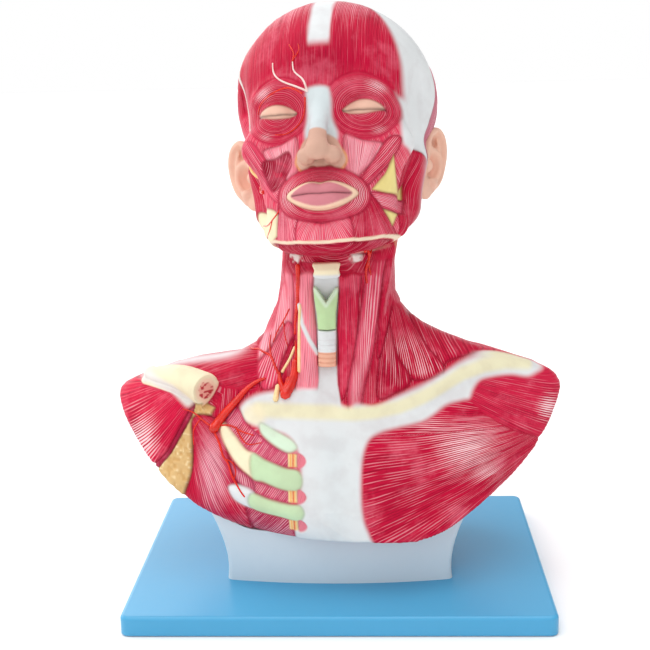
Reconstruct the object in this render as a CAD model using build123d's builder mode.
"""Anatomy bust on a board: muscle head, neck and shoulders, their inserts, plinth and base.

Millimetres. +Z up, the face looks towards -Y, the bust's own right side is towards -X.
Z = 0 is the surface that the feet stand on.
"""
import os
from math import radians, sqrt, tan

from build123d import *

# base board and feet
BOARD_WIDTH = 330.0
BOARD_DEPTH = 240.0
BOARD_TOP = 16.0
BOARD_BOTTOM = 1.0
BOARD_DECK = 4.0
BOARD_WALL = 3.0
BOARD_CORNER_RADIUS = 7.0
BOARD_EDGE_RADIUS = 3.0
RIB_THICKNESS = 2.5
RIB_COUNT_X = 6
RIB_COUNT_Y = 4
FOOT_RADIUS = 9.0
FOOT_HEIGHT = 6.0
FOOT_BOSS_RADIUS = 11.0
FOOT_X = 148.0
FOOT_Y = 103.0

# plinth
PLINTH_WALL = 5.0
PLINTH_DECK = 5.0
PLINTH_FRONT = 56.0
PLINTH_BACK = 50.0
PLINTH_BOW = 8.0
PLINTH_CORNER_RADIUS = 5.0
PLINTH_SECTIONS = [(0.0, 90.0), (24.0, 90.5), (46.0, 97.0), (70.0, 108.0)]
PLINTH_BOSS_RADIUS = 7.0
PLINTH_BOSS_X = 68.0
PLINTH_BOSS_Y = 36.0
DECK_BOSS_RADIUS = 9.0
DECK_BOSS_BOTTOM = 50.0
DECK_BOSS_X = 34.0

# fasteners
SCREW_RADIUS = 2.5
SCREW_CLEARANCE = 2.75
SCREW_HEAD_RADIUS = 4.5
SCREW_HEAD_HEIGHT = 2.5
WASHER_RADIUS = 6.0
WASHER_HEIGHT = 1.0
BOARD_BOSS_BOTTOM = 4.0
BOARD_BOSS_RADIUS = 9.0
PLINTH_SCREW_TIP = 34.0
BUST_SCREW_TIP = 78.0

# torso: height, half width, half depth, centre towards its left, centre towards the back
TORSO_SECTIONS = [
    (50.0, 150.0, 82.0, 0.0, -2.0),
    (85.0, 162.0, 84.0, 0.0, -1.0),
    (115.0, 173.0, 80.0, 0.0, 1.0),
    (140.0, 180.0, 73.0, 0.0, 4.0),
    (160.0, 180.0, 65.0, 1.0, 8.0),
    (171.0, 169.0, 60.0, 7.0, 10.0),
    (180.0, 146.0, 57.0, 13.0, 10.0),
    (188.0, 113.0, 55.0, 20.0, 9.0),
    (198.0, 86.0, 54.0, 17.0, 8.0),
    (213.0, 63.0, 53.0, 6.0, 7.0),
    (231.0, 51.0, 52.0, 2.0, 6.0),
    (252.0, 47.0, 51.0, 1.0, 5.0),
    (278.0, 46.0, 51.0, 0.0, 5.0),
]
TORSO_WALL = 6.0
NECK_TOP = 278.0
NECK_CENTRE = 5.0
NECK_HALF_WIDTH = 46.0
NECK_HALF_DEPTH = 51.0
SPIGOT_HALF_WIDTH = 37.0
SPIGOT_HALF_DEPTH = 42.0
SPIGOT_WALL = 5.0
SPIGOT_TOP = 304.0
UNDERSIDE_HEIGHT = 60.0
UNDERSIDE_FLAT = 55.0
UNDERSIDE_RISE = [
    (84.0, 67.0),
    (110.0, 82.0),
    (134.0, 99.0),
    (152.0, 116.0),
    (166.0, 135.0),
    (178.0, 158.0),
    (188.0, 184.0),
]
UNDERSIDE_LEAN = 0.25
TRIM_TOP = 320.0
TRIM_DEPTH = 140.0
BLOCK_WIDTH = 100.0
BLOCK_DEPTH = 60.0
BLOCK_HEIGHT = 16.0

# head, in a frame of its own: origin between the ears, tilted back, turned and leaning
HEAD_ORIGIN = (2.5, 5.0, 339.0)
HEAD_PITCH = 19.0
HEAD_TURN = -6.0
HEAD_LEAN = -3.0
HEAD_WALL = 5.0
HEAD_SECTIONS = [
    (-78.0, 22.0, 15.0, 0.0, -60.0),
    (-68.0, 37.0, 28.0, 0.0, -48.0),
    (-48.0, 53.0, 48.0, 0.0, -30.0),
    (-18.0, 64.0, 69.0, 0.0, -14.0),
    (15.0, 71.0, 81.0, 0.0, -6.0),
    (45.0, 75.0, 87.0, 0.0, -1.0),
    (73.0, 73.0, 84.0, 0.0, 2.0),
    (98.0, 59.0, 68.0, 0.0, 5.0),
    (114.0, 39.0, 45.0, 0.0, 7.0),
    (123.0, 14.0, 16.0, 0.0, 8.0),
]
NOSE_SECTIONS = [
    (-12.0, 16.0, 11.0, 0.0, -86.0),
    (2.0, 12.0, 11.0, 0.0, -85.0),
    (30.0, 6.0, 8.0, 0.0, -78.0),
]
NECK_STUB_TOP = 330.0

# ears: an oval shell with a peg, in the head's frame
EAR_HALF_HEIGHT = 29.0
EAR_HALF_WIDTH = 17.0
EAR_THICKNESS = 7.0
EAR_X = 70.0
EAR_Y = 14.0
EAR_Z = 1.0
EAR_FLARE = 28.0
EAR_EDGE_RADIUS = 2.5
EAR_PEG_RADIUS = 4.0
EAR_PEG_LENGTH = 12.0

# windpipe column let into the front of the neck
INSERT_FLOOR = -42.5
HYOID_CENTRE = (-6.0, 266.0)
HYOID_WIDTH = 19.0
HYOID_HEIGHT = 7.0
HYOID_FACE = -49.0
THYROID_OUTLINE = [(-16.0, 252.0), (-7.0, 245.0), (2.0, 252.0), (0.0, 222.0), (-14.0, 222.0)]
THYROID_FACE = -51.0
TRACHEA_X = -6.5
TRACHEA_HALF_WIDTH = 6.5
TRACHEA_TOP = 219.0
TRACHEA_BOTTOM = 189.0
TRACHEA_FACE = -49.0
RING_PITCH = 6.0
RING_COUNT = 4
RING_GROOVE = 1.2

# strands bonded on the neck and chest: radius, sink of the centre line, route as (x, z)
BEND_SHARE = 0.45
CAROTID = (2.2, 0.0, [(-28.0, 266.0), (-28.6, 253.0), (-28.8, 240.0), (-29.8, 226.0)])
VAGUS = (1.5, 0.0, [(-33.0, 266.0), (-33.2, 250.0), (-34.0, 234.0), (-32.0, 214.0), (-29.0, 190.0)])
BRACHIOCEPHALIC = (4.0, -1.0, [(-36.0, 190.0), (-36.5, 181.0), (-41.0, 173.0)])
SUBCLAVIAN = (4.5, -1.5, [(-57.0, 179.0), (-69.0, 171.5), (-82.0, 159.0), (-96.0, 142.0)])
SUPRASCAPULAR = (1.2, 0.0, [(-45.0, 187.0), (-56.0, 192.5), (-69.0, 190.0), (-82.0, 183.0)])

# strands bonded on the head, route as (x, height) in the head's frame
SUPRAORBITAL = (1.2, 0.0, [(-14.0, 26.0), (-19.0, 36.0), (-27.0, 42.0), (-37.0, 50.0)])
TEMPORAL = (1.5, 0.0, [(-66.0, 10.0), (-63.0, -8.0), (-57.0, -27.0), (-49.0, -44.0)])


def lofted(plane, sections, inset=0.0):
    """A smooth body through oval sections, each at its height above the plane."""
    with BuildPart() as body:
        for height, half_width, half_depth, *centre in sections:
            with BuildSketch(plane.offset(height)):
                with Locations(tuple(centre)):
                    Ellipse(half_width - inset, half_depth - inset)
        loft()
    return body.part


def above_underside(lift):
    """Everything above the bust's curved underside, raised by lift."""
    rise = [(x, z + lift) for x, z in UNDERSIDE_RISE]
    fall = [(-x, z) for x, z in reversed(rise)]
    flat_right = (UNDERSIDE_FLAT, UNDERSIDE_HEIGHT + lift)
    flat_left = (-UNDERSIDE_FLAT, UNDERSIDE_HEIGHT + lift)
    with BuildPart() as block:
        with BuildSketch(Plane.XZ):
            with BuildLine():
                Spline(flat_right, *rise, tangents=[(1, 0), (UNDERSIDE_LEAN, 1)])
                Polyline(rise[-1], (rise[-1][0], TRIM_TOP), (-rise[-1][0], TRIM_TOP), fall[0])
                Spline(*fall, flat_left, tangents=[(UNDERSIDE_LEAN, -1), (1, 0)])
                Line(flat_left, flat_right)
            make_face()
        extrude(amount=TRIM_DEPTH, both=True)
    return block.part


def plinth_form(inset=0.0):
    """The plinth's flaring block, with bowed front and back."""
    with BuildPart() as form:
        for height, half_width in PLINTH_SECTIONS:
            side = half_width - inset
            front = -PLINTH_FRONT + inset
            back = PLINTH_BACK - inset
            with BuildSketch(Plane.XY.offset(BOARD_TOP + height)):
                with BuildLine():
                    ThreePointArc((-side, front), (0, front - PLINTH_BOW), (side, front))
                    Line((side, front), (side, back))
                    ThreePointArc((side, back), (0, back + PLINTH_BOW), (-side, back))
                    Line((-side, back), (-side, front))
                face = make_face()
                fillet(face.vertices(), PLINTH_CORNER_RADIUS)
        loft()
    return form.part


def surface_depth(sections, x, height):
    """Depth of a lofted body's front at a place, read from its sections."""
    for lower, upper in zip(sections, sections[1:]):
        if lower[0] <= height <= upper[0]:
            share = (height - lower[0]) / (upper[0] - lower[0])
            half_width, half_depth, middle, centre = [
                a + share * (b - a) for a, b in zip(lower[1:], upper[1:])
            ]
            return centre - half_depth * sqrt(1 - ((x - middle) / half_width) ** 2)
    raise ValueError("height outside the body")


def strand(plane, sections, spec):
    """A bonded strand: a tube whose centre line runs along a lofted body's front."""
    radius, sink, route = spec
    points = [
        plane.from_local_coords((x, surface_depth(sections, x, height) + sink, height))
        for x, height in route
    ]
    bends = []
    for before, corner, after in zip(points, points[1:], points[2:]):
        turn = (corner - before).get_angle(after - corner)
        shorter = min((corner - before).length, (after - corner).length)
        bends.append(BEND_SHARE * shorter / tan(radians(turn / 2)))
    with BuildPart() as tube:
        with BuildLine() as path:
            FilletPolyline(*points, radius=bends)
        with BuildSketch(Plane(path.line @ 0, z_dir=path.line % 0)):
            Circle(radius)
        sweep()
    return tube.part


def screws(places, head_bottom, tip):
    """Pan-head screws pointing up, one at each place."""
    with BuildPart() as group:
        with Locations(*[(x, y, head_bottom) for x, y in places]):
            Cylinder(SCREW_HEAD_RADIUS, SCREW_HEAD_HEIGHT, align=BASE_ALIGN)
            Cylinder(SCREW_RADIUS, tip - head_bottom, align=BASE_ALIGN)
    return group.part


def washers(places, bottom):
    """Flat washers, one at each place."""
    with BuildPart() as group:
        with Locations(*[(x, y, bottom) for x, y in places]):
            Cylinder(WASHER_RADIUS, WASHER_HEIGHT, align=BASE_ALIGN)
            Cylinder(SCREW_RADIUS, WASHER_HEIGHT, align=BASE_ALIGN, mode=Mode.SUBTRACT)
    return group.part


def keep(builder, label):
    """Names a finished piece and writes its file."""
    builder.part.label = label
    export_step(builder.part, f"parts/{label}.step")


os.makedirs("parts", exist_ok=True)
BASE_ALIGN = (Align.CENTER, Align.CENTER, Align.MIN)
PLINTH_SCREW_PLACES = [
    (x, y) for x in (-PLINTH_BOSS_X, PLINTH_BOSS_X) for y in (-PLINTH_BOSS_Y, PLINTH_BOSS_Y)
]
BUST_SCREW_PLACES = [(-DECK_BOSS_X, 0.0), (DECK_BOSS_X, 0.0)]
FOOT_PLACES = [(x, y) for x in (-FOOT_X, FOOT_X) for y in (-FOOT_Y, FOOT_Y)]
HEAD_PLANE = Plane(Location(HEAD_ORIGIN, (-HEAD_PITCH, HEAD_LEAN, HEAD_TURN)))

# strands first, because the shells are cut to seat them
with BuildPart() as right_common_carotid_artery:
    add(strand(Plane.XY, TORSO_SECTIONS, CAROTID))
keep(right_common_carotid_artery, "right_common_carotid_artery")

with BuildPart() as right_vagus_nerve:
    add(strand(Plane.XY, TORSO_SECTIONS, VAGUS))
keep(right_vagus_nerve, "right_vagus_nerve")

with BuildPart() as right_subclavian_artery:
    add(strand(Plane.XY, TORSO_SECTIONS, SUBCLAVIAN))
keep(right_subclavian_artery, "right_subclavian_artery")

with BuildPart() as right_brachiocephalic_artery:
    add(strand(Plane.XY, TORSO_SECTIONS, BRACHIOCEPHALIC))
keep(right_brachiocephalic_artery, "right_brachiocephalic_artery")

with BuildPart() as right_suprascapular_artery:
    add(strand(Plane.XY, TORSO_SECTIONS, SUPRASCAPULAR))
keep(right_suprascapular_artery, "right_suprascapular_artery")

with BuildPart() as right_supraorbital_nerve:
    add(strand(HEAD_PLANE, HEAD_SECTIONS, SUPRAORBITAL))
keep(right_supraorbital_nerve, "right_supraorbital_nerve")

with BuildPart() as right_temporal_artery:
    add(strand(HEAD_PLANE, HEAD_SECTIONS, TEMPORAL))
keep(right_temporal_artery, "right_temporal_artery")

# windpipe column
with BuildPart() as hyoid_bone:
    with BuildSketch(Plane.XZ.offset(-INSERT_FLOOR)):
        with Locations(HYOID_CENTRE):
            SlotOverall(HYOID_WIDTH, HYOID_HEIGHT)
    extrude(amount=INSERT_FLOOR - HYOID_FACE)
keep(hyoid_bone, "hyoid_bone")

with BuildPart() as thyroid_cartilage:
    with BuildSketch(Plane.XZ.offset(-INSERT_FLOOR)):
        with BuildLine():
            Polyline(*THYROID_OUTLINE, close=True)
        make_face()
    extrude(amount=INSERT_FLOOR - THYROID_FACE)
keep(thyroid_cartilage, "thyroid_cartilage")

with BuildPart() as trachea:
    with BuildSketch(Plane.XZ.offset(-INSERT_FLOOR)):
        with Locations((TRACHEA_X, (TRACHEA_TOP + TRACHEA_BOTTOM) / 2)):
            Rectangle(2 * TRACHEA_HALF_WIDTH, TRACHEA_TOP - TRACHEA_BOTTOM)
    extrude(amount=INSERT_FLOOR - TRACHEA_FACE)
    ring_heights = [TRACHEA_BOTTOM + RING_PITCH * (i + 1) for i in range(RING_COUNT)]
    with Locations(*[(TRACHEA_X, TRACHEA_FACE, height) for height in ring_heights]):
        Box(2 * TRACHEA_HALF_WIDTH, 2 * RING_GROOVE, RING_GROOVE, mode=Mode.SUBTRACT)
keep(trachea, "trachea")

# torso: a hollow casting, open at the neck, with a spigot for the head
with BuildPart() as torso_hollow:
    add(lofted(Plane.XY, TORSO_SECTIONS, TORSO_WALL))
    add(above_underside(TORSO_WALL), mode=Mode.INTERSECT)

with BuildPart() as torso_shell:
    add(lofted(Plane.XY, TORSO_SECTIONS))
    add(above_underside(0), mode=Mode.INTERSECT)
    add(torso_hollow.part, mode=Mode.SUBTRACT)
    with BuildSketch(Plane.XY.offset(NECK_TOP - SPIGOT_WALL)):
        with Locations((0, NECK_CENTRE)):
            Ellipse(NECK_HALF_WIDTH - SPIGOT_WALL, NECK_HALF_DEPTH - SPIGOT_WALL)
    extrude(amount=SPIGOT_WALL)
    with BuildSketch(Plane.XY.offset(NECK_TOP)):
        with Locations((0, NECK_CENTRE)):
            Ellipse(SPIGOT_HALF_WIDTH, SPIGOT_HALF_DEPTH)
    extrude(amount=SPIGOT_TOP - NECK_TOP)
    with BuildSketch(Plane.XY.offset(NECK_TOP - SPIGOT_WALL)):
        with Locations((0, NECK_CENTRE)):
            Ellipse(SPIGOT_HALF_WIDTH - SPIGOT_WALL, SPIGOT_HALF_DEPTH - SPIGOT_WALL)
    extrude(amount=SPIGOT_TOP - NECK_TOP + SPIGOT_WALL, mode=Mode.SUBTRACT)
    with Locations(*[(x, y, UNDERSIDE_HEIGHT) for x, y in BUST_SCREW_PLACES]):
        Cylinder(SCREW_CLEARANCE, TORSO_WALL, align=BASE_ALIGN, mode=Mode.SUBTRACT)
    add(
        [
            hyoid_bone.part,
            thyroid_cartilage.part,
            trachea.part,
            right_common_carotid_artery.part,
            right_vagus_nerve.part,
            right_subclavian_artery.part,
            right_brachiocephalic_artery.part,
            right_suprascapular_artery.part,
        ],
        mode=Mode.SUBTRACT,
    )
keep(torso_shell, "torso_shell")

with BuildPart() as bust_mounting_block:
    with Locations((0, 0, UNDERSIDE_HEIGHT + TORSO_WALL)):
        Box(BLOCK_WIDTH, BLOCK_DEPTH, BLOCK_HEIGHT, align=BASE_ALIGN)
    with Locations(*[(x, y, UNDERSIDE_HEIGHT + TORSO_WALL) for x, y in BUST_SCREW_PLACES]):
        Cylinder(
            SCREW_RADIUS,
            BUST_SCREW_TIP - UNDERSIDE_HEIGHT - TORSO_WALL,
            align=BASE_ALIGN,
            mode=Mode.SUBTRACT,
        )
keep(bust_mounting_block, "bust_mounting_block")

# ears, each with a peg, cut to sit on the head
head_form = lofted(HEAD_PLANE, HEAD_SECTIONS)


def ear(side):
    """One ear, on side -1 (right) or 1 (left)."""
    seat = HEAD_PLANE.location * Location((side * EAR_X, EAR_Y, EAR_Z), (0, side * 90, 0))
    flared = seat * Location((0, 0, 0), (-EAR_FLARE, 0, 0))
    with BuildPart() as shell:
        with BuildSketch(Plane(flared)):
            Ellipse(EAR_HALF_HEIGHT, EAR_HALF_WIDTH)
        extrude(amount=EAR_THICKNESS)
        fillet(shell.faces().sort_by(SortBy.AREA)[-2:].edges(), EAR_EDGE_RADIUS)
        add(head_form, mode=Mode.SUBTRACT)
        with BuildSketch(Plane(seat)):
            Circle(EAR_PEG_RADIUS)
        extrude(amount=-EAR_PEG_LENGTH)
    return shell.part


with BuildPart() as right_ear:
    add(ear(-1))
keep(right_ear, "right_ear")

with BuildPart() as left_ear:
    add(ear(1))
keep(left_ear, "left_ear")

# head: a hollow casting whose neck stub slips over the spigot
with BuildPart() as head_shell:
    add(head_form)
    add(lofted(HEAD_PLANE, NOSE_SECTIONS))
    with BuildSketch(Plane.XY.offset(NECK_TOP)):
        with Locations((0, NECK_CENTRE)):
            Ellipse(NECK_HALF_WIDTH, NECK_HALF_DEPTH)
    extrude(amount=NECK_STUB_TOP - NECK_TOP)
    add(lofted(HEAD_PLANE, HEAD_SECTIONS[1:-1], HEAD_WALL), mode=Mode.SUBTRACT)
    with BuildSketch(Plane.XY.offset(NECK_TOP)):
        with Locations((0, NECK_CENTRE)):
            Ellipse(SPIGOT_HALF_WIDTH, SPIGOT_HALF_DEPTH)
    extrude(amount=NECK_STUB_TOP - NECK_TOP, mode=Mode.SUBTRACT)
    add(
        [right_ear.part, left_ear.part, right_supraorbital_nerve.part, right_temporal_artery.part],
        mode=Mode.SUBTRACT,
    )
keep(head_shell, "head_shell")

# plinth: hollow, open below, with bosses for the board's screws and the bust's screws
with BuildPart() as plinth_hollow:
    add(plinth_form(PLINTH_WALL))
    add(above_underside(-PLINTH_DECK), mode=Mode.SUBTRACT)

with BuildPart() as plinth:
    add(plinth_form())
    add(plinth_hollow.part, mode=Mode.SUBTRACT)
    with Locations(*[(x, y, BOARD_TOP) for x, y in PLINTH_SCREW_PLACES]):
        Cylinder(PLINTH_BOSS_RADIUS, UNDERSIDE_HEIGHT - BOARD_TOP, align=BASE_ALIGN)
    with Locations(*[(x, y, DECK_BOSS_BOTTOM) for x, y in BUST_SCREW_PLACES]):
        Cylinder(DECK_BOSS_RADIUS, UNDERSIDE_HEIGHT - DECK_BOSS_BOTTOM, align=BASE_ALIGN)
    add(above_underside(0), mode=Mode.SUBTRACT)
    with Locations(*[(x, y, BOARD_TOP) for x, y in PLINTH_SCREW_PLACES]):
        Cylinder(SCREW_RADIUS, PLINTH_SCREW_TIP - BOARD_TOP, align=BASE_ALIGN, mode=Mode.SUBTRACT)
    with Locations(*[(x, y, DECK_BOSS_BOTTOM) for x, y in BUST_SCREW_PLACES]):
        Cylinder(
            SCREW_CLEARANCE,
            UNDERSIDE_HEIGHT - DECK_BOSS_BOTTOM,
            align=BASE_ALIGN,
            mode=Mode.SUBTRACT,
        )
keep(plinth, "plinth")

# board: a ribbed tray with foot bosses and screw bosses
with BuildPart() as base_board:
    with BuildSketch(Plane.XY.offset(BOARD_BOTTOM)):
        RectangleRounded(BOARD_WIDTH, BOARD_DEPTH, BOARD_CORNER_RADIUS)
    extrude(amount=BOARD_TOP - BOARD_BOTTOM)
    fillet(base_board.faces().sort_by(Axis.Z)[-1].edges(), BOARD_EDGE_RADIUS)
    with BuildSketch(Plane.XY.offset(BOARD_BOTTOM)):
        RectangleRounded(
            BOARD_WIDTH - 2 * BOARD_WALL,
            BOARD_DEPTH - 2 * BOARD_WALL,
            BOARD_CORNER_RADIUS - BOARD_WALL,
        )
    extrude(amount=BOARD_TOP - BOARD_DECK - BOARD_BOTTOM, mode=Mode.SUBTRACT)
    with BuildSketch(Plane.XY.offset(BOARD_BOSS_BOTTOM)):
        with GridLocations(BOARD_WIDTH / (RIB_COUNT_X + 1), 0, RIB_COUNT_X, 1):
            Rectangle(RIB_THICKNESS, BOARD_DEPTH - BOARD_WALL)
        with GridLocations(0, BOARD_DEPTH / (RIB_COUNT_Y + 1), 1, RIB_COUNT_Y):
            Rectangle(BOARD_WIDTH - BOARD_WALL, RIB_THICKNESS)
        with Locations(*PLINTH_SCREW_PLACES):
            Circle(BOARD_BOSS_RADIUS)
    extrude(amount=BOARD_TOP - BOARD_DECK - BOARD_BOSS_BOTTOM)
    with Locations(*[(x, y, FOOT_HEIGHT) for x, y in FOOT_PLACES]):
        Cylinder(FOOT_BOSS_RADIUS, BOARD_TOP - BOARD_DECK - FOOT_HEIGHT, align=BASE_ALIGN)
    with Locations(*[(x, y, BOARD_BOSS_BOTTOM) for x, y in PLINTH_SCREW_PLACES]):
        Cylinder(
            SCREW_CLEARANCE, BOARD_TOP - BOARD_BOSS_BOTTOM, align=BASE_ALIGN, mode=Mode.SUBTRACT
        )
keep(base_board, "base_board")

with BuildPart() as base_feet:
    with Locations(*[(x, y, 0) for x, y in FOOT_PLACES]):
        Cylinder(FOOT_RADIUS, FOOT_HEIGHT, align=BASE_ALIGN)
keep(base_feet, "base_feet")

# fasteners
with BuildPart() as plinth_washers:
    add(washers(PLINTH_SCREW_PLACES, BOARD_BOSS_BOTTOM - WASHER_HEIGHT))
keep(plinth_washers, "plinth_washers")

with BuildPart() as plinth_screws:
    add(
        screws(
            PLINTH_SCREW_PLACES,
            BOARD_BOSS_BOTTOM - WASHER_HEIGHT - SCREW_HEAD_HEIGHT,
            PLINTH_SCREW_TIP,
        )
    )
keep(plinth_screws, "plinth_screws")

with BuildPart() as bust_washers:
    add(washers(BUST_SCREW_PLACES, DECK_BOSS_BOTTOM - WASHER_HEIGHT))
keep(bust_washers, "bust_washers")

with BuildPart() as bust_screws:
    add(
        screws(
            BUST_SCREW_PLACES,
            DECK_BOSS_BOTTOM - WASHER_HEIGHT - SCREW_HEAD_HEIGHT,
            BUST_SCREW_TIP,
        )
    )
keep(bust_screws, "bust_screws")
